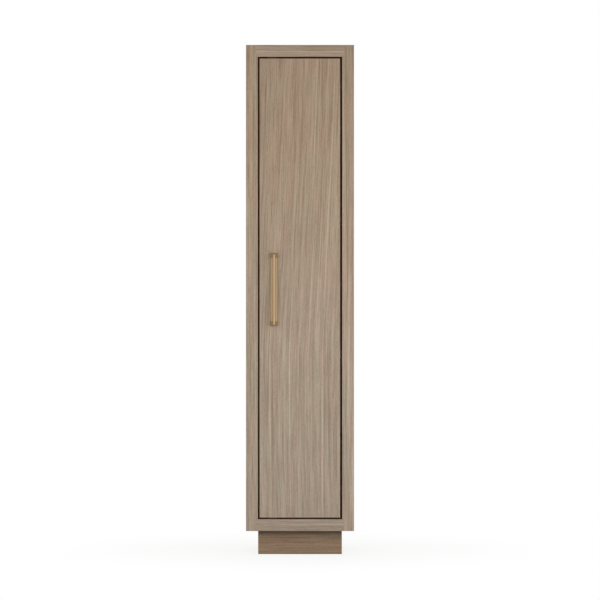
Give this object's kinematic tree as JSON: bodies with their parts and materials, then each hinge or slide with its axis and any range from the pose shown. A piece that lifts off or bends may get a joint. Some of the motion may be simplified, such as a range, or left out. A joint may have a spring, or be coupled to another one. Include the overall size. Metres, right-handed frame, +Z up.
{
  "type": "tall storage cabinet",
  "caption": "Tall narrow oak storage cabinet: face frame, an inset slab door on concealed four-bar hinges, a satin brass bar pull, pinned shelves and a recessed plinth.",
  "frame": {"origin": "on the floor, under the middle of the cabinet's bounding box, pull included", "axes": "+Z up along the height, +X to the right as seen from the front, +Y from the door to the back"},
  "size_m": [0.4572, 0.5694, 2.159],
  "materials": {
    "beech_dowel": "unfinished beech",
    "case_oak": "oak-veneered plywood, clear matt finish",
    "dark_plastic": "dark brown moulded plastic",
    "door_oak": "rift-cut oak veneer, vertical grain, clear matt finish",
    "frame_oak": "solid oak, clear matt finish",
    "inner_oak": "solid oak strip, clear matt finish",
    "nickel_steel": "nickel-plated steel",
    "plinth_oak": "solid oak, horizontal grain, clear matt finish",
    "satin_brass": "satin brushed brass, champagne tone",
    "soft_pad": "soft translucent polyurethane",
    "zinc_steel": "zinc-plated steel"
  },
  "bodies": {
    "carcass": {"arm_pins": "nickel_steel", "arm_screws": "zinc_steel", "back_panel": "case_oak", "bottom_nailer": "inner_oak", "bottom_panel": "case_oak", "bottom_rail": "frame_oak", "bumpers": "soft_pad", "fixed_shelf": "case_oak", "fixed_shelf_edge": "inner_oak", "frame_dowels": "beech_dowel", "hinge_arm_1": "nickel_steel", "hinge_arm_2": "nickel_steel", "hinge_arm_3": "nickel_steel", "hinge_arm_4": "nickel_steel", "hinge_plate_1": "nickel_steel", "hinge_plate_2": "nickel_steel", "hinge_plate_3": "nickel_steel", "hinge_plate_4": "nickel_steel", "hinge_post": "inner_oak", "plate_screws": "zinc_steel", "plinth_back": "plinth_oak", "plinth_front": "plinth_oak", "plinth_left": "plinth_oak", "plinth_right": "plinth_oak", "shelf_1": "case_oak", "shelf_1_edge": "inner_oak", "shelf_2": "case_oak", "shelf_2_edge": "inner_oak", "shelf_4": "case_oak", "shelf_4_edge": "inner_oak", "shelf_5": "case_oak", "shelf_5_edge": "inner_oak", "shelf_pins": "nickel_steel", "side_left": "case_oak", "side_right": "case_oak", "stile_left": "frame_oak", "stile_right": "frame_oak", "stop_strip": "dark_plastic", "top_nailer": "inner_oak", "top_panel": "case_oak", "top_rail": "frame_oak"},
    "outer_links": {"outer_link_1": "nickel_steel", "outer_link_2": "nickel_steel", "outer_link_3": "nickel_steel", "outer_link_4": "nickel_steel"},
    "inner_links": {"inner_link_1": "nickel_steel", "inner_link_2": "nickel_steel", "inner_link_3": "nickel_steel", "inner_link_4": "nickel_steel"},
    "door": {"cup_pins": "nickel_steel", "cup_screws": "zinc_steel", "door_panel": "door_oak", "hinge_cup_1": "nickel_steel", "hinge_cup_2": "nickel_steel", "hinge_cup_3": "nickel_steel", "hinge_cup_4": "nickel_steel", "pull_bar": "satin_brass", "pull_plate": "satin_brass", "pull_posts": "satin_brass", "pull_screws": "zinc_steel"}
  },
  "joints": [
    {"name": "outer_link_turn", "type": "hinge", "parent": "carcass", "child": "outer_links", "pos_m": [0.1426, -0.236, 1.13], "axis": [0, 0, 1], "range_deg": [0, 25.4]},
    {"name": "door_swing", "type": "hinge", "parent": "outer_links", "child": "door", "pos_m": [0.1558, -0.2347, 1.13], "axis": [0, 0, 1], "range_deg": [0, 79.8]},
    {"name": "inner_link_turn", "type": "hinge", "parent": "carcass", "child": "inner_links", "pos_m": [0.1492, -0.2339, 1.13], "axis": [0, 0, 1], "range_deg": [0, 77.9]}
  ],
  "couplings": [
    {"joint": "outer_link_turn", "follows": "door_swing", "ratio": 0.31579},
    {"joint": "inner_link_turn", "follows": "door_swing", "ratio": 0.97368}
  ]
}
